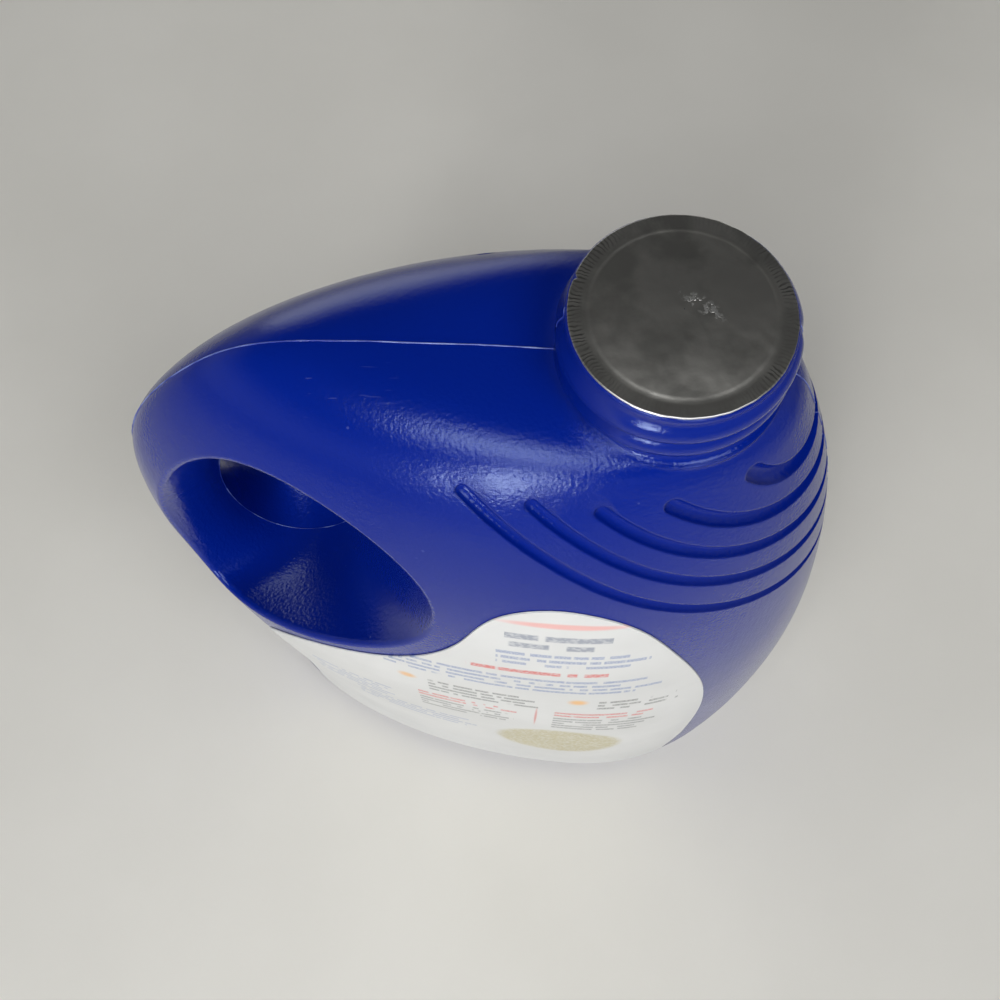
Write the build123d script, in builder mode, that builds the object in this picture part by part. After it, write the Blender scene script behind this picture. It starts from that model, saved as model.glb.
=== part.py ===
from build123d import *
from math import sqrt
import os

os.makedirs("parts", exist_ok=True)

# Millimetres. +Z up, the long way along x, the mould parting plane at y = 0, the labelled face towards -y
body_length = 203.4
body_width = 108.4
body_height = 250.0
base_round = 7.0
foot_width = 11.0
push_up = 4.0

# Cross-section: upright faces that arch over to the shoulder
arch_start = 60.0
arch_over = 12.0
arch_power = 3.5

# Where the oval rings of the wall are widest, and how blunt their two ends are
widest_share = 0.63
heel_fullness = 0.52
grip_fullness = 0.27
front_fullness = 0.51
grip_pinch_start = 0.4
grip_pinch_run = 0.35
ring_count = 9

# Neck, off to the right of the middle
neck_offset = 35.0
neck_radius = 22.9
neck_rise = 17.7
neck_flare = 2.0
neck_root = 5.0
neck_tilt = 1.0
land_round = 0.5

# Low crown round the foot of the neck
crown_run = 20.0
crown_margin = 4.0
crown_side = 3.0
crown_fall = 0.7
crown_front_fall = 3.5
crown_widest_share = 0.55

# Mouth and the foil bonded over it, which bulges a little inside the land
membrane_radius = 19.3
membrane_rise = 0.9
foil_thickness = 0.3

# Handle opening: an oval at the parting plane that flares towards both faces
grip_depth = 20.7
hole_drop = 89.5
hole_width = 43.7
hole_height = 89.0
hole_lean = -10.5
flare_width = 203.0
flare_height = 154.6
flare_shift = -44.0
flare_lift = 62.7
flare_stations = [1, 0.8, 0.6, 0.4, 0.2, 0]
grip_round = 24.0
rim_round = 1.5
cut_past = 4.0

# Five grooves round the shoulder: start along x from the neck axis, drop there, drop at the side seam
groove_starts = [-41.3, -26.5, -11.7, 3.1, 19.8]
groove_drops = [11.0, 11.0, 11.0, 10.4, 9.6]
groove_seam_drops = [74.5, 58.0, 44.0, 31.0, 19.5]
groove_radii = [1.8, 1.8, 1.9, 2.2, 2.5]
groove_sag = 2.0
groove_stations = [0, 0.2, 0.42, 0.65, 0.83, 0.95]

# Front label, with its edge from the handle over the top to the right side
label_thickness = 0.4
label_glue = 0.15
label_foot = 9.5
label_top_drop = 44.0
label_left = -73.0
label_right = 69.0
label_tuck = 3.0
label_corner = 8.0
label_edge_shares = [
    (0, 0.5),
    (0.131, 0.628),
    (0.318, 0.73),
    (0.463, 0.871),
    (0.534, 0.97),
    (0.627, 1),
    (0.725, 0.978),
    (0.84, 0.863),
    (0.958, 0.616),
    (1, 0.206),
]

# Outlines of the handle end and the pouring end from the base up, as shares of half the length and the height
handle_outline = [
    (-0.855, 0),
    (-0.92, 0.34),
    (-0.985, 0.56),
    (-0.997, 0.68),
    (-0.895, 0.82),
    (-0.72, 0.917),
    (-0.395, 0.986),
]
pouring_outline = [
    (0.99, 0),
    (1.0, 0.22),
    (0.955, 0.49),
    (0.87, 0.69),
    (0.785, 0.825),
    (0.715, 0.904),
    (0.655, 0.96),
]
ellipse_share = 0.5523

half_length = body_length / 2
half_width = body_width / 2
land_z = body_height + neck_rise
reach = half_width + cut_past
neck_axis = Axis((neck_offset, 0, 0), (0, 0, 1))


def outline(points):
    """A smooth edge through points given as shares of half the length and of the height."""
    with BuildLine(Plane.XZ) as edge:
        Spline(*[(x * half_length, z * body_height) for x, z in points])
    return edge.line


def arch(z):
    """Half width of the body at a height."""
    rise = max(z - arch_start, 0) / (body_height + arch_over - arch_start)
    return half_width * sqrt(1 - rise**arch_power)


def half_ring(left_end, right_end, half, place, left_full, right_full):
    """The front half of one oval, in the tilted plane through its two ends."""
    along = right_end - left_end
    size = along.length
    side = place * size
    left_pull = side * (1 - ellipse_share)
    right_pull = side + (size - side) * ellipse_share
    with BuildSketch(Plane(origin=left_end, x_dir=along, z_dir=(-along.Z, 0, along.X))) as oval:
        with BuildLine():
            Bezier((0, 0), (0, -left_full * half), (left_pull, -half), (side, -half))
            Bezier((side, -half), (right_pull, -half), (size, -right_full * half), (size, 0))
            Line((size, 0), (0, 0))
        make_face()
    return oval.sketch


# Rings of the wall, evenly spaced up the two outlines
handle_edge = outline(handle_outline)
pouring_edge = outline(pouring_outline)
rings = []
for number in range(ring_count):
    t = number / (ring_count - 1)
    left_end = handle_edge @ t
    right_end = pouring_edge @ t
    pinch = min(max((t - grip_pinch_start) / grip_pinch_run, 0), 1)
    left_full = heel_fullness + (grip_fullness - heel_fullness) * pinch**2 * (3 - 2 * pinch)
    half = arch(left_end.Z + widest_share * (right_end.Z - left_end.Z))
    rings.append(half_ring(left_end, right_end, half, widest_share, left_full, front_fullness))

# Low crown that closes in to the neck
crown_left = Vector(neck_offset - neck_radius - crown_run, 0, body_height - crown_fall)
crown_right = Vector(neck_offset + neck_radius + crown_margin, 0, body_height - crown_front_fall)
crown_half = neck_radius + crown_side
neck_left = Vector(neck_offset - neck_radius, 0, body_height)
neck_right = Vector(neck_offset + neck_radius, 0, body_height - neck_tilt)
crown = [
    rings[-1],
    half_ring(crown_left, crown_right, crown_half, crown_widest_share, front_fullness, front_fullness),
    half_ring(neck_left, neck_right, neck_radius, 0.5, ellipse_share, ellipse_share),
]

# Wall of one mould half up to the shoulder and the crown, then both halves
with BuildPart() as envelope:
    for ring in rings:
        add(ring)
    loft()
    for ring in crown:
        add(ring)
    loft()
    mirror(about=Plane.XZ)

# Handle opening, waisted at the parting plane so that the grip is round
hole_x = -half_length + grip_depth + hole_width / 2
hole_z = body_height - hole_drop
with BuildPart() as opening:
    full = sqrt(reach**2 + grip_round**2) - grip_round
    for share in flare_stations:
        y = -share * reach
        t = (sqrt(y**2 + grip_round**2) - grip_round) / full
        wide = hole_width + t * (flare_width - hole_width)
        tall = hole_height + t * (flare_height - hole_height)
        centre = (hole_x + t * flare_shift, y, hole_z + t * flare_lift)
        with BuildSketch(Plane(origin=centre, x_dir=(1, 0, 0), z_dir=(0, -1, 0))):
            Ellipse(wide / 2, tall / 2, rotation=hole_lean)
    loft()
    mirror(about=Plane.XZ)

# Grooves that wrap the shoulder from face to face, each a round run along the wall with round ends
with BuildPart() as grooves:
    for start, start_drop, seam_drop, radius in zip(
        groove_starts, groove_drops, groove_seam_drops, groove_radii
    ):
        start_x = neck_offset + start
        start_z = body_height - start_drop
        seam_z = body_height - seam_drop
        seam_ray = Axis((neck_offset, 0, seam_z), (1, 0, 0))
        seam_x = max(point.X for point, normal in envelope.part.find_intersection_points(seam_ray))
        front = []
        for t in groove_stations:
            x = start_x + t * (seam_x - start_x)
            z = start_z + t * (seam_z - start_z) - 4 * groove_sag * t * (1 - t)
            face_ray = Axis((x, 0, z), (0, -1, 0))
            y = min(point.Y for point, normal in envelope.part.find_intersection_points(face_ray))
            front.append(Vector(x, y, z))
        back = [Vector(point.X, -point.Y, point.Z) for point in reversed(front)]
        with BuildLine() as run:
            Spline(*front, Vector(seam_x, 0, seam_z), *back)
        with BuildSketch(Plane(origin=run.line @ 0, z_dir=run.line % 0)):
            Circle(radius)
        sweep()
        with Locations(run.line @ 0, run.line @ 1):
            Sphere(radius)

with BuildPart() as bottle:
    add(envelope.part)
    fillet(bottle.edges().group_by(Axis.Z)[0].filter_by(GeomType.LINE, reverse=True), base_round)

    # Push-up under the base, leaving a standing foot all round
    foot_left = Vector(handle_outline[0][0] * half_length + foot_width, 0, 0)
    foot_right = Vector(pouring_outline[0][0] * half_length - foot_width, 0, 0)
    foot_half = half_width - foot_width
    with BuildSketch(Plane.XY):
        add(half_ring(foot_left, foot_right, foot_half, widest_share, heel_fullness, front_fullness))
        mirror(about=Plane.XZ)
    extrude(amount=push_up, mode=Mode.SUBTRACT)

    # Handle opening with a soft rim on both faces
    add(opening.part, mode=Mode.SUBTRACT)
    rims = bottle.edges(Select.LAST).filter_by(lambda edge: abs(edge.center().Y) > half_width / 4)
    fillet(rims, rim_round)

    add(grooves.part, mode=Mode.SUBTRACT)

    # Neck with a soft foot and a rounded land
    foot_z = body_height - neck_tilt
    wall_x = neck_offset + neck_radius
    flare_x = wall_x + neck_flare
    flare_z = foot_z + neck_flare
    root_z = foot_z - neck_root
    with BuildSketch(Plane.XZ):
        with BuildLine():
            RadiusArc((flare_x, foot_z), (wall_x, flare_z), neck_flare)
            Polyline((wall_x, flare_z), (wall_x, land_z), (neck_offset, land_z))
            Polyline((neck_offset, land_z), (neck_offset, root_z), (flare_x, root_z), (flare_x, foot_z))
        make_face()
    revolve(axis=neck_axis)
    fillet(bottle.edges().group_by(Axis.Z)[-1], land_round)

    # Mouth, bulging a little inside the flat land
    bulge_top = (neck_offset, land_z + membrane_rise)
    bulge_edge = (neck_offset + membrane_radius, land_z)
    with BuildSketch(Plane.XZ):
        with BuildLine():
            TangentArc(bulge_top, bulge_edge, tangent=(1, 0))
            Polyline(bulge_edge, (neck_offset, land_z), bulge_top)
        make_face()
    revolve(axis=neck_axis)

bottle.part.label = "bottle"
export_step(bottle.part, "parts/bottle.step")

# Foil of one thickness, bonded to the land and to the bulge of the mouth
with BuildPart() as foil_seal:
    foil_x = neck_offset + neck_radius - land_round
    foil_top = (neck_offset, land_z + membrane_rise + foil_thickness)
    foil_step = (neck_offset + membrane_radius, land_z + foil_thickness)
    with BuildSketch(Plane.XZ):
        with BuildLine():
            TangentArc(bulge_top, bulge_edge, tangent=(1, 0))
            Polyline(bulge_edge, (foil_x, land_z), (foil_x, land_z + foil_thickness), foil_step)
            TangentArc(foil_top, foil_step, tangent=(1, 0))
            Line(foil_top, bulge_top)
        make_face()
    revolve(axis=neck_axis)
foil_seal.part.label = "foil_seal"
export_step(foil_seal.part, "parts/foil_seal.step")

# Label laid on the front wall
with BuildPart() as label:
    with Locations((0, -label_glue - label_thickness, 0)):
        add(envelope.part)
    with BuildSketch(Plane.XZ) as panel:
        with BuildLine():
            width = label_right - label_left
            height = body_height - label_top_drop - label_foot
            edge = [(label_left + x * width, label_foot + z * height) for x, z in label_edge_shares]
            Spline(*edge)
            lower_left = (label_left + label_tuck, label_foot)
            lower_right = (label_right - label_tuck, label_foot)
            Polyline(edge[-1], lower_right, lower_left, edge[0])
        make_face()
        fillet(panel.vertices().group_by(Axis.Y)[0], label_corner)
    extrude(amount=reach, mode=Mode.INTERSECT)
    with Locations((0, -label_glue, 0)):
        add(envelope.part, mode=Mode.SUBTRACT)
label.part.label = "label"
export_step(label.part, "parts/label.step")
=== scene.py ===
"""Dresses a blown jug: blue wall, threaded neck, mould seam, foil seal and printed label on a pale floor."""

import logging
import math
from dataclasses import dataclass
from enum import Enum
from typing import Callable, Iterable, Sequence

import bmesh
import bpy
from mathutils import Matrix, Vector, noise
from mathutils.bvhtree import BVHTree

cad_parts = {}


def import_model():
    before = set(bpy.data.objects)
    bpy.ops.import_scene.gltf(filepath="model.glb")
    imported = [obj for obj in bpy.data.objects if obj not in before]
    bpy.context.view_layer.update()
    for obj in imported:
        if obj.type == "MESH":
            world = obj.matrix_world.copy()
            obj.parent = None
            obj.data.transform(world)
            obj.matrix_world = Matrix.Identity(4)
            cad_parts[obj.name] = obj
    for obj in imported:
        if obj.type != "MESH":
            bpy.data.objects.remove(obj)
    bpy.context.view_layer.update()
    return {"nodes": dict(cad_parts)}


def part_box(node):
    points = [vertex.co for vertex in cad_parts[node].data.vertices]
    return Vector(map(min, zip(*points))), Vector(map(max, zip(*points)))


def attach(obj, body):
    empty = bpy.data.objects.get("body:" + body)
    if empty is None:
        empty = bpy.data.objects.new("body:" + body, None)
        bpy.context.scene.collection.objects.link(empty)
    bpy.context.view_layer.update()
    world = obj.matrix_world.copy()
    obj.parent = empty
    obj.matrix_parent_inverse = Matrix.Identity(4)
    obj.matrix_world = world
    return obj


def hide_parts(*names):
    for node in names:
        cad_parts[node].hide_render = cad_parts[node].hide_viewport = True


log = logging.getLogger("jug")

MM = 0.001
ROOT_BODY = "root"
MERGE_DISTANCE = 1e-7
QUARTER_TURN = 0.25

# Sockets of the Mix node when it mixes colours: its share, its two colours and its result
MIX_INPUTS = (0, 6, 7)
MIX_RESULT = 2

Point = tuple[float, float, float]
Colour = tuple[float, float, float]
Band = tuple[float, float]
Path = list[tuple[Vector, Vector]]
Socket = bpy.types.NodeSocket


class Slot(Enum):
    """Material slots of the record; the pieces here don't take them."""

    WALL = "blue_hdpe"
    FOIL = "seal_foil"


class Node(Enum):
    """CAD nodes of the frame."""

    BOTTLE = "bottle"
    FOIL = "foil_seal"
    LABEL = "label"


def smooth_step(low: float, high: float, value: float) -> float:
    """Eases from 0 at low to 1 at high.

    Args:
        low: Value where the ease starts.
        high: Value where it ends.
        value: Where to read it.

    Returns:
        A share from 0 to 1.
    """
    t = min(max((value - low) / (high - low), 0.0), 1.0)
    return t * t * (3.0 - 2.0 * t)


def opaque(value: object) -> object:
    """Returns a colour with full alpha, and anything else as it is."""
    return (*value, 1.0) if isinstance(value, tuple) else value


def grid_mesh(
    name: str, rows: Sequence[Sequence[Point]], round_rows: bool, round_columns: bool
) -> bpy.types.Object:
    """Makes a smooth-shaded mesh from a grid of points.

    Args:
        name: Name of the piece.
        rows: Points row by row, every row as long as the first.
        round_rows: Whether the last row joins the first.
        round_columns: Whether each row closes on itself.

    Returns:
        The new object, linked to the scene.
    """
    wide = len(rows[0])
    tall = len(rows)
    faces = []
    for i in range(tall if round_rows else tall - 1):
        for j in range(wide if round_columns else wide - 1):
            low, high = i * wide, (i + 1) % tall * wide
            nxt = (j + 1) % wide
            faces.append((low + j, low + nxt, high + nxt, high + j))
    mesh = bpy.data.meshes.new(name)
    mesh.from_pydata([point for row in rows for point in row], [], faces)
    body = bmesh.new()
    body.from_mesh(mesh)
    bmesh.ops.remove_doubles(body, verts=body.verts, dist=MERGE_DISTANCE)
    bmesh.ops.recalc_face_normals(body, faces=body.faces)
    body.to_mesh(mesh)
    body.free()
    mesh.polygons.foreach_set("use_smooth", [True] * len(mesh.polygons))
    piece = bpy.data.objects.new(name, mesh)
    bpy.context.scene.collection.objects.link(piece)
    return piece


def dress(piece: bpy.types.Object, material: bpy.types.Material) -> None:
    """Gives a piece one material all over."""
    piece.data.materials.clear()
    piece.data.materials.append(material)


@dataclass(frozen=True)
class Cloud:
    """A noise field: its features per unit of the coordinates, and its octaves."""

    scale: float
    detail: float = 1.0


@dataclass(frozen=True)
class Relief:
    """A bump: its depth in metres, and the share of it that shows."""

    depth: float
    strength: float


# For coordinates that are scaled already
UNIT_CLOUD = Cloud(1.0)


class ShaderGraph:
    """A material's nodes, with short calls for the ones used here."""

    ease_samples = 6

    def __init__(self, name: str) -> None:
        """Starts a material with a Principled surface."""
        self.material = bpy.data.materials.new(name)
        self.material.use_nodes = True
        self.tree = self.material.node_tree
        self.surface = self.tree.nodes["Principled BSDF"]
        self.place = self.tree.nodes.new("ShaderNodeTexCoord").outputs["Object"]

    def put(self, socket: Socket, value: object) -> None:
        """Links or sets an input socket."""
        if isinstance(value, Socket):
            self.tree.links.new(value, socket)
        else:
            socket.default_value = value

    def number(self, operation: str, *values: object) -> Socket:
        """Adds a Math node.

        Args:
            operation: Its operation.
            *values: Numbers or sockets for its inputs.

        Returns:
            Its result.
        """
        node = self.tree.nodes.new("ShaderNodeMath")
        node.operation = operation
        for socket, value in zip(node.inputs, values):
            self.put(socket, value)
        return node.outputs[0]

    def product(self, first: Socket, *others: object) -> Socket:
        """Multiplies a socket by numbers or sockets, one after another."""
        result = first
        for other in others:
            result = self.number("MULTIPLY", result, other)
        return result

    def squares(self, first: Socket, second: Socket) -> Socket:
        """Adds the squares of two numbers."""
        return self.number("ADD", self.product(first, first), self.product(second, second))

    def split(self, vector: Socket) -> tuple[Socket, ...]:
        """Returns a vector's x, y and z."""
        node = self.tree.nodes.new("ShaderNodeSeparateXYZ")
        self.put(node.inputs[0], vector)
        return tuple(node.outputs)

    def join(self, x: object, y: object, z: object) -> Socket:
        """Returns a vector of three numbers or sockets."""
        node = self.tree.nodes.new("ShaderNodeCombineXYZ")
        for socket, value in zip(node.inputs, (x, y, z)):
            self.put(socket, value)
        return node.outputs[0]

    def scaled(self, factors: Point) -> Socket:
        """Returns the object coordinates times three factors."""
        node = self.tree.nodes.new("ShaderNodeVectorMath")
        node.operation = "MULTIPLY"
        self.put(node.inputs[0], self.place)
        self.put(node.inputs[1], factors)
        return node.outputs[0]

    def cloud(self, cloud: Cloud, vector: Socket | None = None) -> Socket:
        """Adds a Noise texture.

        Args:
            cloud: Its scale and octaves.
            vector: Where it is read, or None for the object coordinates.

        Returns:
            Its factor, about 0.5 on average.
        """
        node = self.tree.nodes.new("ShaderNodeTexNoise")
        self.put(node.inputs["Vector"], self.place if vector is None else vector)
        node.inputs["Scale"].default_value = cloud.scale
        node.inputs["Detail"].default_value = cloud.detail
        return node.outputs[0]

    def cells(self, scale: float) -> Socket:
        """Returns the distance to the nearest Voronoi point."""
        node = self.tree.nodes.new("ShaderNodeTexVoronoi")
        self.put(node.inputs["Vector"], self.place)
        node.inputs["Scale"].default_value = scale
        return node.outputs["Distance"]

    def ramp(self, value: Socket, low: float, high: float, start: float = 0.0, end: float = 1.0) -> Socket:
        """Maps low..high to start..end with a smooth ease, held at both ends.

        Args:
            value: Socket to map.
            low: Value that gives start.
            high: Value that gives end.
            start: First result.
            end: Last result.

        Returns:
            The mapped socket.
        """
        node = self.tree.nodes.new("ShaderNodeMapRange")
        node.interpolation_type = "SMOOTHSTEP"
        for socket, item in zip(node.inputs, (value, low, high, start, end)):
            self.put(socket, item)
        return node.outputs[0]

    def patches(self, cloud: Cloud, band: Band, least: float = 0.0) -> Socket:
        """Returns soft patches: least where the cloud is under the band, 1 where it is over."""
        return self.ramp(self.cloud(cloud), *band, least, 1.0)

    def mix(self, share: object, first: object, second: object) -> Socket:
        """Mixes two colours.

        Args:
            share: Share of the second.
            first: Colour or socket.
            second: Colour or socket.

        Returns:
            The mixed colour.
        """
        node = self.tree.nodes.new("ShaderNodeMix")
        node.data_type = "RGBA"
        for index, item in zip(MIX_INPUTS, (share, first, second)):
            self.put(node.inputs[index], opaque(item))
        return node.outputs[MIX_RESULT]

    def bump(self, height: Socket, relief: Relief, below: Socket | None = None) -> Socket:
        """Adds a Bump node.

        Args:
            height: Height from 0 to 1.
            relief: Its depth and strength.
            below: Normal of a bump under it.

        Returns:
            The bumped normal.
        """
        node = self.tree.nodes.new("ShaderNodeBump")
        node.inputs["Distance"].default_value = relief.depth
        node.inputs["Strength"].default_value = relief.strength
        self.put(node.inputs["Height"], height)
        if below is not None:
            self.put(node.inputs["Normal"], below)
        return node.outputs[0]

    def eased(self, radius: object) -> Socket:
        """Returns the surface's normal with edges eased to a radius, in metres."""
        node = self.tree.nodes.new("ShaderNodeBevel")
        node.samples = self.ease_samples
        self.put(node.inputs["Radius"], radius)
        return node.outputs[0]

    def finish(self, **inputs: object) -> bpy.types.Material:
        """Sets the surface's inputs by name, with _ for a space, and returns the material."""
        for key, value in inputs.items():
            self.put(self.surface.inputs[key.replace("_", " ")], opaque(value))
        return self.material


@dataclass(frozen=True)
class BluePlastic:
    """Satin royal-blue polyethylene with orange peel, draw lines and light scuffs."""

    name: str = "blue_polyethylene"
    deep: Colour = (0.0004, 0.0100, 0.185)
    light: Colour = (0.0006, 0.0135, 0.235)
    scuffed: Colour = (0.16, 0.2, 0.46)
    tone: Cloud = Cloud(14.0, 3.0)
    tone_band: Band = (0.3, 0.7)
    roughness: Band = (0.15, 0.21)
    refraction: float = 1.42
    gloss_tint: Colour = (0.6, 0.74, 1.0)
    scratch_per_metre: Point = (90.0, 1500.0, 700.0)
    scratch_band: Band = (0.70, 0.76)
    scratch_patch: Cloud = Cloud(31.0)
    scratch_patch_band: Band = (0.64, 0.74)
    scratch_strength: float = 0.18
    specks_per_metre: float = 160.0
    speck_band: Band = (0.05, 0.075)
    speck_strength: float = 0.22
    speck_patch: Cloud = Cloud(47.0)
    speck_patch_band: Band = (0.55, 0.62)
    peel: Cloud = Cloud(1050.0, 1.5)
    peel_relief: Relief = Relief(0.16 * MM, 0.75)
    peel_patch: Cloud = Cloud(11.0)
    peel_patch_band: Band = (0.3, 0.65)
    peel_least: float = 0.35
    neck_heights: Band = (0.246, 0.256)
    neck_peel: float = 0.5
    lines_per_metre: Point = (900.0, 900.0, 14.0)
    line_relief: Relief = Relief(0.1 * MM, 0.7)
    line_end_heights: Band = (0.19, 0.235)
    edge_ease: float = 0.8 * MM
    crown_ease: float = 9.0 * MM
    crown_heights: Band = (0.236, 0.242)
    crown_ends: Band = (0.018, 0.030)

    def marks(self, graph: ShaderGraph) -> Socket:
        """Builds the mask of the scuffs: patches of fine scratches and of specks."""
        field = graph.cloud(UNIT_CLOUD, graph.scaled(self.scratch_per_metre))
        scratch_patch = graph.patches(self.scratch_patch, self.scratch_patch_band)
        scratch = graph.product(graph.ramp(field, *self.scratch_band), scratch_patch, self.scratch_strength)
        speck = graph.ramp(graph.cells(self.specks_per_metre), *self.speck_band, self.speck_strength, 0.0)
        speck = graph.product(speck, graph.patches(self.speck_patch, self.speck_patch_band))
        return graph.number("MAXIMUM", scratch, speck)

    def normal(self, graph: ShaderGraph) -> Socket:
        """Builds the normal: eased edges, orange peel that is weaker on the neck, and draw lines."""
        along, _, height = graph.split(graph.place)
        before_front = graph.ramp(along, *self.crown_ends, 1.0, 0.0)
        crown = graph.product(graph.ramp(height, *self.crown_heights), before_front)
        ease = graph.ramp(crown, 0.0, 1.0, self.edge_ease, self.crown_ease)
        patch = graph.patches(self.peel_patch, self.peel_patch_band, self.peel_least)
        patch = graph.product(patch, graph.ramp(height, *self.neck_heights, 1.0, self.neck_peel))
        peel = graph.product(graph.cloud(self.peel), patch)
        normal = graph.bump(peel, self.peel_relief, graph.eased(ease))
        lines = graph.cloud(UNIT_CLOUD, graph.scaled(self.lines_per_metre))
        lines = graph.product(lines, graph.ramp(height, *self.line_end_heights, 1.0, 0.0))
        return graph.bump(lines, self.line_relief, normal)

    def material(self) -> bpy.types.Material:
        """Builds the material."""
        graph = ShaderGraph(self.name)
        tone = graph.cloud(self.tone)
        colour = graph.mix(self.marks(graph), graph.mix(tone, self.deep, self.light), self.scuffed)
        rough = graph.ramp(tone, *self.tone_band, *self.roughness)
        return graph.finish(
            Base_Color=colour, Roughness=rough, Normal=self.normal(graph), IOR=self.refraction,
            Specular_Tint=self.gloss_tint,
        )


@dataclass(frozen=True)
class SeamPlastic:
    """Thin flash at the mould's parting line, paler than the wall where it is drawn thin."""

    name: str = "seam_flash"
    deep: Colour = (0.01, 0.03, 0.3)
    pale: Colour = (0.16, 0.21, 0.5)
    drawn: Cloud = Cloud(120.0, 3.0)
    drawn_band: Band = (0.35, 0.62)
    roughness: float = 0.45
    refraction: float = 1.52
    grain: Cloud = Cloud(2600.0, 2.0)
    grain_relief: Relief = Relief(0.06 * MM, 0.6)

    def material(self) -> bpy.types.Material:
        """Builds the material."""
        graph = ShaderGraph(self.name)
        colour = graph.mix(graph.patches(self.drawn, self.drawn_band), self.deep, self.pale)
        normal = graph.bump(graph.cloud(self.grain), self.grain_relief)
        return graph.finish(Base_Color=colour, Roughness=self.roughness, Normal=normal, IOR=self.refraction)


@dataclass(frozen=True)
class SealFoil:
    """Dull grey laminated foil with bumped pleats whose folds carry painted shade, a patch of pale flecks and
    a painted highlight along the front of the cut edge.
    """

    axis_x: float
    rim_radius: float
    name: str = "laminated_foil"
    dark: Colour = (0.30, 0.297, 0.28)
    light: Colour = (0.56, 0.553, 0.52)
    # Painted shade: the darker colour laid in the pleats' folds
    pleat_shade: Colour = (0.2, 0.198, 0.188)
    # Painted highlight: pale colour laid along the cut edge, at the front only
    edge_highlight: Colour = (0.62, 0.62, 0.62)
    fleck: Colour = (0.88, 0.88, 0.86)
    stain: Cloud = Cloud(95.0, 4.0)
    stain_band: Band = (0.36, 0.64)
    rough_band: Band = (0.3, 0.7)
    roughness: Band = (0.44, 0.38)
    cut_inset: Band = (0.35 * MM, 0.1 * MM)
    highlight_front: Band = (-21.0 * MM, -15.0 * MM)
    highlight_least: float = 0.05
    land_radius: float = 19.9 * MM
    land_edge: Band = (0.4 * MM, 0.5 * MM)
    pleats: float = 150.0
    pleat_band: Band = (-0.2, 0.9)
    pleat_sway: float = 15.0
    sway: Cloud = Cloud(330.0, 2.0)
    side_shares: Band = (0.5, 0.95)
    side_least: float = 0.12
    pleat_patch: Cloud = Cloud(190.0)
    pleat_patch_band: Band = (0.35, 0.6)
    pleat_patch_least: float = 0.3
    pleat_relief: Relief = Relief(0.06 * MM, 0.3)
    patch_x: float = 3.4 * MM
    patch_y: float = 1.4 * MM
    patch_way: Band = (0.835, -0.55)
    patch_half: Band = (6.0 * MM, 2.0 * MM)
    patch_fade: Band = (0.1, 1.2)
    fleck_grain: Cloud = Cloud(1000.0, 2.0)
    fleck_band: Band = (0.5, 0.62)
    fleck_relief: Relief = Relief(0.1 * MM, 0.55)
    fine: Cloud = Cloud(1500.0, 3.0)
    fine_relief: Relief = Relief(0.05 * MM, 0.35)

    def fleck_mask(self, graph: ShaderGraph, along: Socket, y: Socket) -> Socket:
        """Builds the mask of the patch of flecks.

        Args:
            graph: The foil's nodes.
            along: Place along x from the neck's axis.
            y: Place along y.

        Returns:
            A mask from 0 to 1.
        """
        off_x = graph.number("SUBTRACT", along, self.patch_x)
        off_y = graph.number("SUBTRACT", y, self.patch_y)
        way_x, way_y = self.patch_way
        half_run, half_side = self.patch_half
        run = graph.number("ADD", graph.product(off_x, way_x), graph.product(off_y, way_y))
        side = graph.number("SUBTRACT", graph.product(off_x, way_y), graph.product(off_y, way_x))
        reach = graph.squares(graph.number("DIVIDE", run, half_run), graph.number("DIVIDE", side, half_side))
        grain = graph.patches(self.fleck_grain, self.fleck_band)
        return graph.product(graph.ramp(reach, *self.patch_fade, 1.0, 0.0), grain)

    def pleat_fold_and_shade_mask(self, graph: ShaderGraph, along: Socket, y: Socket, radius: Socket) -> Socket:
        """Builds the mask of the fine radial pleats on the land, strongest at the left and right; it drives
        both their bump and their painted shade.

        Args:
            graph: The foil's nodes.
            along: Place along x from the neck's axis.
            y: Place along y.
            radius: Distance from the neck's axis.

        Returns:
            A mask from 0 to 1.
        """
        turns = graph.product(graph.number("ARCTAN2", y, along), self.pleats)
        sway = graph.product(graph.cloud(self.sway), self.pleat_sway)
        wave = graph.number("SINE", graph.number("ADD", turns, sway))
        inner, outer = self.land_edge
        on_land = graph.ramp(radius, self.land_radius - inner, self.land_radius + outer)
        from_x, to_x = (share * self.land_radius for share in self.side_shares)
        sideways = graph.ramp(graph.number("ABSOLUTE", along), from_x, to_x, self.side_least, 1.0)
        patchy = graph.patches(self.pleat_patch, self.pleat_patch_band, self.pleat_patch_least)
        return graph.product(graph.ramp(wave, *self.pleat_band), on_land, sideways, patchy)

    def material(self) -> bpy.types.Material:
        """Builds the material."""
        graph = ShaderGraph(self.name)
        x, y, _ = graph.split(graph.place)
        along = graph.number("SUBTRACT", x, self.axis_x)
        radius = graph.number("SQRT", graph.squares(along, y))
        stain = graph.cloud(self.stain)
        pleats = self.pleat_fold_and_shade_mask(graph, along, y, radius)
        cut_from, cut_to = (self.rim_radius - inset for inset in self.cut_inset)
        edge = graph.ramp(radius, cut_from, cut_to)
        # Painted highlight on the cut edge: full at the front, fading to a trace at the back
        front = graph.ramp(y, *self.highlight_front, 1.0, self.highlight_least)
        flecks = self.fleck_mask(graph, along, y)
        colour = graph.mix(graph.ramp(stain, *self.stain_band), self.dark, self.light)
        # Painted shade in the pleats' folds
        colour = graph.mix(pleats, colour, self.pleat_shade)
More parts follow.
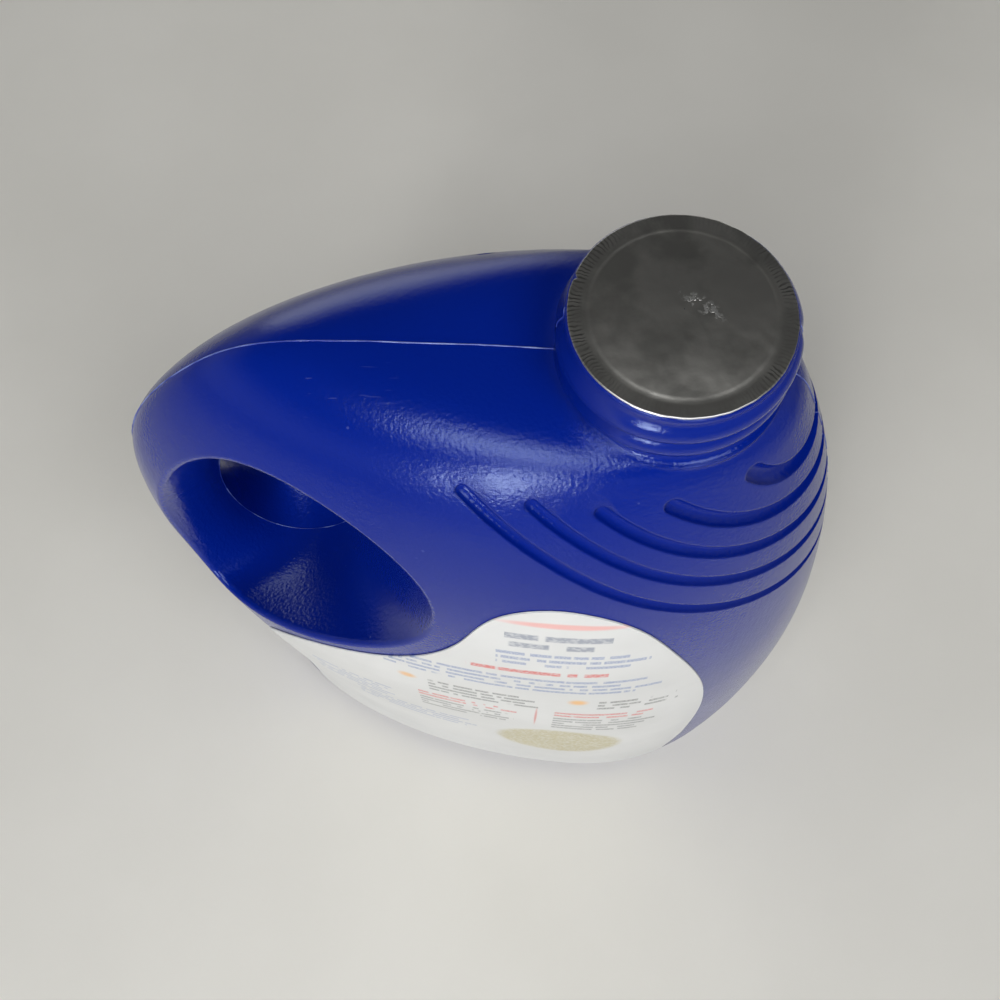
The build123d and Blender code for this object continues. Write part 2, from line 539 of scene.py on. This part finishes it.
        # Lay the painted highlight on the front of the cut edge
        colour = graph.mix(graph.product(edge, front), colour, self.edge_highlight)
        colour = graph.mix(flecks, colour, self.fleck)
        normal = graph.bump(graph.cloud(self.fine), self.fine_relief)
        normal = graph.bump(pleats, self.pleat_relief, normal)
        normal = graph.bump(flecks, self.fleck_relief, normal)
        rough = graph.ramp(stain, *self.rough_band, *self.roughness)
        return graph.finish(Base_Color=colour, Metallic=1.0, Roughness=rough, Normal=normal)


@dataclass(frozen=True)
class TextBlock:
    """A block of greeked rows, in millimetres on the label's face."""

    left: float
    right: float
    top: float
    rows: int
    pitch: float
    ink: Colour
    word: float
    strength: float
    share: float = 0.54


@dataclass(frozen=True)
class Disc:
    """A soft-edged oval field of colour, in millimetres on the label's face."""

    x: float
    z: float
    half_width: float
    half_height: float
    ink: Colour
    edge: float
    strength: float
    speckle: float = 0.0


@dataclass(frozen=True)
class PrintedFilm:
    """White film with rows of greeked text and a few plain fields of colour."""

    name: str = "printed_film"
    white: Colour = (0.67, 0.675, 0.672)
    warm: Colour = (0.62, 0.625, 0.62)
    grey_ink: Colour = (0.16, 0.19, 0.27)
    blue_ink: Colour = (0.24, 0.3, 0.47)
    black_ink: Colour = (0.16, 0.17, 0.17)
    red_ink: Colour = (0.62, 0.12, 0.11)
    rose_ink: Colour = (0.78, 0.36, 0.33)
    orange_ink: Colour = (0.8, 0.42, 0.1)
    straw_ink: Colour = (0.44, 0.38, 0.16)
    mottle: Cloud = Cloud(22.0, 3.0)
    mottle_band: Band = (0.35, 0.7)
    wave: Cloud = Cloud(60.0, 2.0)
    wave_band: Band = (0.3, 0.7)
    wave_relief: Relief = Relief(0.25 * MM, 0.12)
    roughness: Band = (0.42, 0.34)
    grain: Cloud = Cloud(2200.0, 2.0)
    grain_relief: Relief = Relief(0.03 * MM, 0.2)
    first_seed: float = 1.3
    seed_step: float = 3.7
    row_edge: float = 0.16
    ragged_step: float = 0.37
    ragged_share: float = 0.22
    row_apart: float = 7.31
    words: Cloud = Cloud(1.6, 0.0)
    word_band: Band = (0.36, 0.42)
    stroke_width: float = 0.16
    stroke_height: float = 0.2
    letter_band: Band = (0.3, 0.62)
    letter_least: float = 0.45
    speckle: Cloud = Cloud(0.9, 4.0)
    speckle_layer: float = 3.0
    speckle_band: Band = (0.35, 0.62)

    def blocks(self) -> list[TextBlock]:
        """Returns the rows of greeked text from the top down."""
        return [
            TextBlock(4, 34, 193.5, 2, 5.2, self.grey_ink, 8.0, 0.72, share=0.6),
            TextBlock(2, 44, 181.5, 3, 3.6, self.blue_ink, 3.6, 0.85),
            TextBlock(-6, 34, 168.0, 1, 4.4, self.red_ink, 6.0, 0.9, share=0.62),
            TextBlock(-30, 54, 161.0, 4, 3.5, self.blue_ink, 3.6, 0.9),
            TextBlock(-18, 16, 139.5, 4, 3.8, self.black_ink, 3.8, 0.85),
            TextBlock(32, 56, 139.5, 3, 3.8, self.black_ink, 3.8, 0.85),
            TextBlock(-22, 9, 120.5, 2, 4.0, self.red_ink, 4.2, 0.85),
            TextBlock(20, 50, 123.0, 2, 4.0, self.red_ink, 4.2, 0.85),
            TextBlock(-22, 9, 111.5, 4, 4.0, self.black_ink, 3.8, 0.75),
            TextBlock(20, 53, 114.0, 5, 4.0, self.black_ink, 3.8, 0.75),
            TextBlock(-58, -30, 108.0, 5, 4.4, self.blue_ink, 3.8, 0.6),
            TextBlock(-46, -2, 84.0, 4, 4.6, self.blue_ink, 3.8, 0.6),
        ]

    def discs(self) -> list[Disc]:
        """Returns the plain fields of colour."""
        return [
            Disc(19, 199.0, 15.0, 1.3, self.rose_ink, 0.4, 0.75),
            Disc(-24, 138.0, 2.2, 2.4, self.orange_ink, 0.6, 0.75),
            Disc(26, 138.0, 2.4, 2.6, self.orange_ink, 0.6, 0.85),
            Disc(14.5, 112.0, 0.35, 12.0, self.red_ink, 0.5, 0.7),
            Disc(24, 66.0, 21.0, 23.0, self.straw_ink, 0.1, 0.82, speckle=0.55),
        ]

    def text_mask(self, graph: ShaderGraph, x: Socket, z: Socket, block: TextBlock, seed: float) -> Socket:
        """Builds the mask of one block of rows.

        Args:
            graph: The label's nodes.
            x: Place across the label, in millimetres.
            z: Height on the label, in millimetres.
            block: The block.
            seed: Number that sets its words apart.

        Returns:
            A mask from 0 to its strength.
        """
        row = graph.number("DIVIDE", graph.number("SUBTRACT", block.top, z), block.pitch)
        index = graph.number("FLOOR", row)
        within = graph.number("FRACT", row)
        row_foot = graph.ramp(within, block.share, block.share + self.row_edge, 1.0, 0.0)
        band = graph.product(graph.ramp(within, 0.0, self.row_edge), row_foot)
        first = graph.number("GREATER_THAN", row, 0.0)
        last = graph.number("LESS_THAN", row, float(block.rows))
        uneven = graph.number("FRACT", graph.product(graph.number("ADD", index, seed), self.ragged_step))
        ragged = graph.product(uneven, self.ragged_share * (block.right - block.left))
        start = graph.number("GREATER_THAN", x, block.left)
        end = graph.number("LESS_THAN", x, graph.number("SUBTRACT", block.right, ragged))
        cell = graph.join(graph.number("DIVIDE", x, block.word), graph.product(index, self.row_apart), seed)
        words = graph.ramp(graph.cloud(self.words, cell), *self.word_band)
        stroke_x = graph.number("DIVIDE", x, block.word * self.stroke_width)
        stroke_z = graph.number("DIVIDE", z, block.pitch * self.stroke_height)
        strokes = graph.cloud(UNIT_CLOUD, graph.join(stroke_x, stroke_z, seed))
        letters = graph.ramp(strokes, *self.letter_band, self.letter_least, 1.0)
        return graph.product(words, letters, band, first, last, start, end, block.strength)

    def disc_mask(self, graph: ShaderGraph, x: Socket, z: Socket, disc: Disc) -> Socket:
        """Builds the mask of one oval field.

        Args:
            graph: The label's nodes.
            x: Place across the label, in millimetres.
            z: Height on the label, in millimetres.
            disc: The field.

        Returns:
            A mask from 0 to its strength.
        """
        across = graph.number("DIVIDE", graph.number("SUBTRACT", x, disc.x), disc.half_width)
        up = graph.number("DIVIDE", graph.number("SUBTRACT", z, disc.z), disc.half_height)
        reach = graph.number("SQRT", graph.squares(across, up))
        mask = graph.ramp(reach, 1.0 - disc.edge, 1.0 + disc.edge, disc.strength, 0.0)
        if disc.speckle:
            grain = graph.cloud(self.speckle, graph.join(x, z, self.speckle_layer))
            mask = graph.product(mask, graph.ramp(grain, *self.speckle_band, 1.0 - disc.speckle, 1.0))
        return mask

    def material(self) -> bpy.types.Material:
        """Builds the material."""
        graph = ShaderGraph(self.name)
        across, _, up = graph.split(graph.place)
        x = graph.product(across, 1.0 / MM)
        z = graph.product(up, 1.0 / MM)
        colour = graph.mix(graph.patches(self.mottle, self.mottle_band), self.white, self.warm)
        for disc in self.discs():
            colour = graph.mix(self.disc_mask(graph, x, z, disc), colour, disc.ink)
        for number, block in enumerate(self.blocks()):
            seed = self.seed_step * number + self.first_seed
            colour = graph.mix(self.text_mask(graph, x, z, block, seed), colour, block.ink)
        wave = graph.cloud(self.wave)
        normal = graph.bump(wave, self.wave_relief)
        normal = graph.bump(graph.cloud(self.grain), self.grain_relief, normal)
        rough = graph.ramp(wave, *self.wave_band, *self.roughness)
        return graph.finish(Base_Color=colour, Roughness=rough, Normal=normal)


@dataclass(frozen=True)
class PaleFloor:
    """Matte pale table top."""

    name: str = "pale_floor"
    light: Colour = (0.72, 0.707, 0.66)
    dark: Colour = (0.685, 0.672, 0.625)
    mottle: Cloud = Cloud(9.0, 4.0)
    mottle_band: Band = (0.3, 0.7)
    roughness: float = 0.55
    grain: Cloud = Cloud(900.0, 3.0)
    grain_relief: Relief = Relief(0.1 * MM, 0.15)

    def material(self) -> bpy.types.Material:
        """Builds the material."""
        graph = ShaderGraph(self.name)
        colour = graph.mix(graph.patches(self.mottle, self.mottle_band), self.light, self.dark)
        normal = graph.bump(graph.cloud(self.grain), self.grain_relief)
        return graph.finish(Base_Color=colour, Roughness=self.roughness, Normal=normal)


@dataclass
class Neck:
    """Neck of the jug, taken from the foil of the frame."""

    axis_x: float
    land: float
    radius: float
    foot: float

    @classmethod
    def from_frame(cls, land_round: float = 0.5 * MM, height: float = 18.7 * MM) -> "Neck":
        """Reads the neck's place from the foil's box.

        Args:
            land_round: Rounded edge of the land that the foil leaves free.
            height: Height of the neck over its foot.

        Returns:
            The neck.
        """
        low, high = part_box(Node.FOIL.value)
        radius = (high.x - low.x) / 2 + land_round
        return cls(axis_x=(low.x + high.x) / 2, land=low.z, radius=radius, foot=low.z - height)


def parting_gap(turn: float) -> float:
    """Angle in radians from the nearer parting line, for an angle in turns from the front."""
    half_turns = (turn * 2.0) % 1.0 - 0.5
    return abs(half_turns) * math.pi


@dataclass
class NeckThread:
    """Threaded sleeve over the plain neck, its ridge lower at the parting line."""

    neck: Neck
    pitch: float = 6.0 * MM
    proud: float = 1.7 * MM
    half: float = 3.4 * MM
    front_drop: float = 6.2 * MM
    turns_below: float = 1.45
    turns_above: float = 0.45
    most_turns: int = 2
    run_in: float = 0.07
    parting_dip: float = 0.3
    parting_half: float = 0.07
    clear: float = 0.04 * MM
    tuck: float = 0.3 * MM
    top_inset: float = 0.5 * MM
    around: int = 288
    upward: int = 96

    def rise(self, angle: float, z: float) -> float:
        """Height of the thread over the plain wall.

        Args:
            angle: Angle round the neck from the front, in turns, positive towards +x.
            z: Height.

        Returns:
            How far the surface stands out.
        """
        best = 0.0
        for whole in range(-self.most_turns, self.most_turns + 1):
            turn = angle + whole
            if not -self.turns_below <= turn <= self.turns_above:
                continue
            centre = self.neck.land - self.front_drop + turn * self.pitch
            ridge = max(0.0, 1.0 - (abs(z - centre) / self.half) ** 2)
            start = smooth_step(0.0, self.run_in, turn + self.turns_below)
            end = smooth_step(0.0, self.run_in, self.turns_above - turn)
            best = max(best, self.proud * ridge * (start * end))
        return best * (1.0 - self.parting_dip * math.exp(-((parting_gap(angle) / self.parting_half) ** 2)))

    def radius_at(self, angle: float, z: float) -> float:
        """Radius of the dressed neck at an angle in turns from the front and a height."""
        return self.neck.radius + self.clear + self.rise(angle, z)

    def build(self) -> bpy.types.Object:
        """Builds the sleeve, tucked into the neck at both ends."""
        rows = []
        top = self.neck.land - self.top_inset
        bottom = self.neck.foot
        for i in range(self.upward + 1):
            z = bottom + (top - bottom) * i / self.upward
            tuck = self.tuck if i in (0, self.upward) else 0.0
            row = []
            for j in range(self.around):
                turn = j / self.around - 0.5
                radius = self.radius_at(turn, z) - tuck
                angle = turn * math.tau
                row.append((self.neck.axis_x + radius * math.sin(angle), -radius * math.cos(angle), z))
            rows.append(row)
        return grid_mesh("neck_thread", rows, False, True)


@dataclass
class MouldSeam:
    """Raised flash along the parting plane, over the body, the neck and round the handle opening."""

    surface: BVHTree
    neck: Neck
    thread: NeckThread
    proud: float = 0.16 * MM
    half: float = 0.22 * MM
    grip_half: float = 0.16 * MM
    sink: float = 0.25 * MM
    section: tuple[Band, ...] = ((-1.0, 0.0), (-0.55, 0.75), (0.0, 1.0), (0.55, 0.75), (1.0, 0.0))
    lip: float = 0.5 * MM
    lip_proud: float = 0.9
    lip_from: float = 14.0 * MM
    lip_to: float = 2.0 * MM
    low: float = 9.0 * MM
    fade_runs: float = 3.0
    proud_wander: float = 0.45
    proud_per_metre: float = 420.0
    half_wander: float = 0.35
    half_per_metre: float = 260.0
    half_layer: Point = (5.0, 0.0, 0.0)
    sway: float = 0.12 * MM
    sway_per_metre: float = 90.0
    body_centre: Point = (0.02, 0.0, 0.14)
    hole_centre: Point = (-0.0592, 0.0, 0.1605)
    reach: float = 0.4
    back_sweep: Band = (260.0, 84.0)
    back_runs: int = 700
    front_sweep: Band = (78.0, -60.0)
    front_runs: int = 420
    grip_runs: int = 420
    neck_runs: int = 60
    neck_clear: float = 0.3 * MM
    neck_top_inset: float = 0.4 * MM
    neck_foot_inset: float = 1.5 * MM
    slope_step: float = 0.1 * MM

    def hit(self, start: Vector, way: Vector) -> tuple[Vector, Vector] | None:
        """Returns the first point and normal that a ray meets, or None."""
        point, normal, _, _ = self.surface.ray_cast(start, way)
        return None if point is None else (point, normal)

    def outer(self, first: float, last: float, steps: int) -> Path:
        """Follows the outside of the body in the parting plane.

        Args:
            first: First angle, in degrees from +x towards +z.
            last: Last angle.
            steps: Number of runs.

        Returns:
            Points with their outward normals.
        """
        path = []
        centre = Vector(self.body_centre)
        for i in range(steps + 1):
            angle = math.radians(first + (last - first) * i / steps)
            way = Vector((math.cos(angle), 0.0, math.sin(angle)))
            found = self.hit(centre + way * self.reach, -way)
            if found and found[0].z > self.low:
                path.append(found)
        return path

    def inner(self, steps: int) -> Path:
        """Follows the handle opening in the parting plane, all the way round."""
        path = []
        centre = Vector(self.hole_centre)
        for i in range(steps):
            angle = math.tau * i / steps
            found = self.hit(centre, Vector((math.cos(angle), 0.0, math.sin(angle))))
            if found:
                path.append(found)
        return path

    def neck_side(self, side: float, steps: int) -> Path:
        """Follows the dressed neck up one side.

        Args:
            side: 1 for +x, -1 for -x.
            steps: Number of runs.

        Returns:
            Points with their outward normals.
        """
        path = []
        turn = QUARTER_TURN * side
        top = self.neck.land - self.neck_top_inset
        bottom = self.neck.foot + self.neck_foot_inset
        for i in range(steps + 1):
            z = bottom + (top - bottom) * i / steps
            radius = self.thread.radius_at(turn, z)
            slope = (self.thread.radius_at(turn, z + self.slope_step) - radius) / self.slope_step
            normal = Vector((side, 0.0, -slope)).normalized()
            path.append((Vector((self.neck.axis_x + side * radius, 0.0, z)), normal))
        return path

    def ribbon(
        self, name: str, path: Path, closed: bool, half: float, lip_at: Callable[[Vector], float]
    ) -> bpy.types.Object:
        """Lays a small ridge along a path.

        Args:
            name: Name of the piece.
            path: Points and outward normals.
            closed: Whether the path is a loop.
            half: Half of its width.
            lip_at: Gives a share from 0 to 1 of the wide lip at a point.

        Returns:
            The ridge.
        """
        rows = []
        count = len(path)
        layer = Vector(self.half_layer)
        for i, (point, normal) in enumerate(path):
            flat = Vector((normal.x, 0.0, normal.z)).normalized()
            lip = lip_at(point)
            fade = 1.0 if closed else min(1.0, i / self.fade_runs, (count - 1 - i) / self.fade_runs)
            uneven = 1.0 + self.proud_wander * noise.noise(point * self.proud_per_metre)
            proud = self.proud * uneven * (1.0 + self.lip_proud * lip) * fade
            widened = 1.0 + self.half_wander * noise.noise(point * self.half_per_metre + layer)
            reach = half * widened + self.lip * lip
            shift = self.sway * noise.noise(point * self.sway_per_metre)
            row = []
            for across, up in self.section:
                lift = proud * up - self.sink * (1.0 - up) ** 2
                spot = point + flat * lift
                row.append((spot.x, shift + across * reach, spot.z))
            rows.append(row)
        return grid_mesh(name, rows, closed, False)

    def build(self) -> list[bpy.types.Object]:
        """Builds the flash of the back, the pouring side, the neck and the handle opening."""
        handle_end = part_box(Node.BOTTLE.value)[0].x
        neck_left = self.neck.axis_x - self.neck.radius - self.neck_clear
        neck_right = self.neck.axis_x + self.neck.radius + self.neck_clear

        def lip(point: Vector) -> float:
            return smooth_step(handle_end + self.lip_from, handle_end + self.lip_to, point.x)

        def plain(point: Vector) -> float:
            return 0.0

        over = [item for item in self.outer(*self.back_sweep, self.back_runs) if item[0].x < neck_left]
        front = [item for item in self.outer(*self.front_sweep, self.front_runs) if item[0].x > neck_right]
        return [
            self.ribbon("seam_back", over, False, self.half, lip),
            self.ribbon("seam_front", front, False, self.half, plain),
            self.ribbon("seam_grip", self.inner(self.grip_runs), True, self.grip_half, plain),
            self.ribbon("seam_neck_left", self.neck_side(-1.0, self.neck_runs), False, self.half, plain),
            self.ribbon("seam_neck_right", self.neck_side(1.0, self.neck_runs), False, self.half, plain),
        ]


@dataclass
class FoilSeal:
    """Foil over the mouth: flat on the land, bulging and wrinkled over the opening."""

    neck: Neck
    edge_inset: float = 0.45 * MM
    lift: float = 0.3 * MM
    shoulder_radius: float = 18.9 * MM
    shoulder_run: float = 0.8 * MM
    shoulder_rise: float = 0.17 * MM
    dome_rise: float = 1.35 * MM
    swell: float = 0.11 * MM
    swell_per_metre: float = 120.0
    ripple: float = 0.035 * MM
    ripple_per_metre: float = 420.0
    ripple_layer: Point = (4.0, 1.0, 0.0)
    crease: float = 0.06 * MM
    crease_across: Band = (210.0, 130.0)
    crease_along: Band = (60.0, 90.0)
    crease_layer: float = 2.0
    uneven: float = 0.1 * MM
    uneven_per_radius: float = 9.0
    nick_angle: float = 163.0
    nick_depth: float = 0.75 * MM
    nick_half: float = 0.022
    hub_share: float = 0.004
    skirt_flare: float = 0.004
    skirt_foot: float = 0.03 * MM
    around: int = 420
    inward: int = 100

    def height(self, x: float, y: float) -> float:
        """Height of the foil over the land.

        Args:
            x: Place from the neck's axis.
            y: Place from the neck's axis.

        Returns:
            Its height.
        """
        radius = math.hypot(x, y)
        spot = Vector((x, y, 0.0))
        outside, within = self.shoulder_radius + self.shoulder_run, self.shoulder_radius - self.shoulder_run
        inside = smooth_step(outside, within, radius)
        dome = self.dome_rise * max(0.0, 1.0 - (radius / self.shoulder_radius) ** 2)
        swell = self.swell * noise.noise(spot * self.swell_per_metre)
        ripple = self.ripple * noise.noise(spot * self.ripple_per_metre + Vector(self.ripple_layer))
        across = x * self.crease_across[0] + y * self.crease_across[1]
        along = y * self.crease_along[1] - x * self.crease_along[0]
        crease = self.crease * abs(noise.noise(Vector((across, along, self.crease_layer))))
        return self.lift + inside * (self.shoulder_rise + dome + (swell + ripple) - crease)

    def rim(self, angle: float) -> float:
        """Radius of the cut edge at an angle."""
        radius = self.neck.radius - self.edge_inset
        way = Vector((math.cos(angle), math.sin(angle), 0.0))
        uneven = self.uneven * noise.noise(way * self.uneven_per_radius)
        off_nick = (angle - math.radians(self.nick_angle)) / self.nick_half
        return radius + uneven - self.nick_depth * math.exp(-(off_nick**2))

    def build(self) -> bpy.types.Object:
        """Builds the foil with a turned-down cut edge."""
        rows = []
        for i in range(self.inward + 1):
            share = self.hub_share + (1.0 - self.hub_share) * (i / self.inward)
            row = []
            for j in range(self.around):
                angle = math.tau * j / self.around - math.pi
                radius = self.rim(angle) * share
                x, y = radius * math.cos(angle), radius * math.sin(angle)
                row.append((self.neck.axis_x + x, y, self.neck.land + self.height(x, y)))
            rows.append(row)
        foot = self.neck.land + self.skirt_foot
        flare = self.skirt_flare
        rows.append([(x + (x - self.neck.axis_x) * flare, y * (1.0 + flare), foot) for x, y, _ in rows[-1]])
        return grid_mesh("foil_cover", rows, False, True)


@dataclass(frozen=True)
class Lamp:
    """A round soft lamp: its place and width in metres, its spread in degrees and its power in watts."""

    name: str
    place: Point
    size: float
    spread: float
    power: float


@dataclass
class Studio:
    """Floor, soft lamps, world and the camera at the photograph's angle."""

    camera_place: Point = (7.7 * MM, -110.3 * MM, 455.3 * MM)
    camera_pitch: float = 20.3
    camera_yaw: float = 4.3
    lens: float = 39.6
    sensor: float = 36.0
    clip_start: float = 0.01
    floor_half: float = 3.0
    floor_cells: int = 4
    lamp_aim: Point = (0.0, 0.0, 0.2)
    lamps: tuple[Lamp, ...] = (
        Lamp("lamp_left", (-0.33, -0.78, 1.37), 0.75, 180.0, 11.8),
        Lamp("lamp_right", (0.63, -0.69, 1.37), 0.75, 180.0, 8.8),
        Lamp("lamp_low", (-0.30, -1.18, 0.46), 0.35, 60.0, 0.64),
        Lamp("lamp_back", (-0.50, 1.30, 0.30), 0.9, 180.0, 3.0),
    )
    zenith: Colour = (0.022, 0.022, 0.023)
    horizon: Colour = (0.4, 0.4, 0.39)
    pale_to: float = 0.1
    dark_from: float = 0.5

    def camera(self) -> None:
        """Places the camera."""
        data = bpy.data.cameras.new("view_camera")
        data.lens = self.lens
        data.sensor_width = self.sensor
        data.sensor_fit = "HORIZONTAL"
        data.clip_start = self.clip_start
        eye = bpy.data.objects.new("view_camera", data)
        eye.location = self.camera_place
        eye.rotation_euler = (math.radians(self.camera_pitch), 0.0, math.radians(self.camera_yaw))
        bpy.context.scene.collection.objects.link(eye)
        bpy.context.scene.camera = eye

    def floor(self) -> None:
        """Lays the floor."""
        half, cells = self.floor_half, self.floor_cells
        span = range(-cells, cells + 1)
        rows = [[(x * half / cells, y * half / cells, 0.0) for x in span] for y in span]
        ground = grid_mesh("floor", rows, False, False)
        dress(ground, PaleFloor().material())

    def light(self) -> None:
        """Adds the soft lamps."""
        aim = Vector(self.lamp_aim)
        for lamp in self.lamps:
            data = bpy.data.lights.new(lamp.name, "AREA")
            data.shape = "DISK"
            data.size = lamp.size
            data.spread = math.radians(lamp.spread)
            data.energy = lamp.power
            stand = bpy.data.objects.new(lamp.name, data)
            stand.location = lamp.place
            stand.rotation_euler = (aim - Vector(lamp.place)).to_track_quat("-Z", "Y").to_euler()
            bpy.context.scene.collection.objects.link(stand)

    def world(self) -> None:
        """Makes a world that is pale at the horizon and dark overhead."""
        world = bpy.data.worlds.new("soft_room")
        world.use_nodes = True
        tree = world.node_tree
        background = tree.nodes["Background"]
        place = tree.nodes.new("ShaderNodeTexCoord")
        split = tree.nodes.new("ShaderNodeSeparateXYZ")
        fall = tree.nodes.new("ShaderNodeMapRange")
        fall.interpolation_type = "SMOOTHSTEP"
        fall.inputs["From Min"].default_value = self.pale_to
        fall.inputs["From Max"].default_value = self.dark_from
        blend = tree.nodes.new("ShaderNodeMix")
        blend.data_type = "RGBA"
        share, first, second = (blend.inputs[index] for index in MIX_INPUTS)
        first.default_value = opaque(self.horizon)
        second.default_value = opaque(self.zenith)
        tree.links.new(place.outputs["Generated"], split.inputs[0])
        tree.links.new(split.outputs[2], fall.inputs["Value"])
        tree.links.new(fall.outputs[0], share)
        tree.links.new(blend.outputs[MIX_RESULT], background.inputs["Color"])
        bpy.context.scene.world = world

    def build(self) -> None:
        """Sets up the whole stage."""
        self.camera()
        self.floor()
        self.light()
        self.world()
        bpy.context.scene.view_settings.view_transform = "Standard"


def mount(piece: bpy.types.Object, material: bpy.types.Material) -> None:
    """Dresses a new piece and lets it ride on the jug."""
    dress(piece, material)
    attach(piece, ROOT_BODY)
    log.info("%s: %d faces", piece.name, len(piece.data.polygons))


def main() -> None:
    """Builds the dressed jug and its stage."""
    logging.basicConfig(level=logging.INFO, format="%(name)s %(message)s")
    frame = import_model()
    nodes = frame["nodes"]

    plastic = BluePlastic().material()
    flash = SeamPlastic().material()
    thin_flash = SeamPlastic(
        name="grip_flash", deep=(0.0006, 0.012, 0.21), pale=(0.12, 0.17, 0.45), drawn_band=(0.47, 0.66)
    ).material()
    neck = Neck.from_frame()
    dress(nodes[Node.BOTTLE.value], plastic)
    dress(nodes[Node.LABEL.value], PrintedFilm().material())

    thread = NeckThread(neck)
    mount(thread.build(), plastic)

    wall = nodes[Node.BOTTLE.value].data
    surface = BVHTree.FromPolygons([v.co for v in wall.vertices], [p.vertices for p in wall.polygons])
    for ridge in MouldSeam(surface, neck, thread).build():
        mount(ridge, thin_flash if ridge.name == "seam_grip" else flash)

    seal = FoilSeal(neck)
    cover = seal.build()
    mount(cover, SealFoil(neck.axis_x, neck.radius - seal.edge_inset).material())
    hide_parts(Node.FOIL.value)

    Studio().build()


if __name__ == "__main__":
    main()
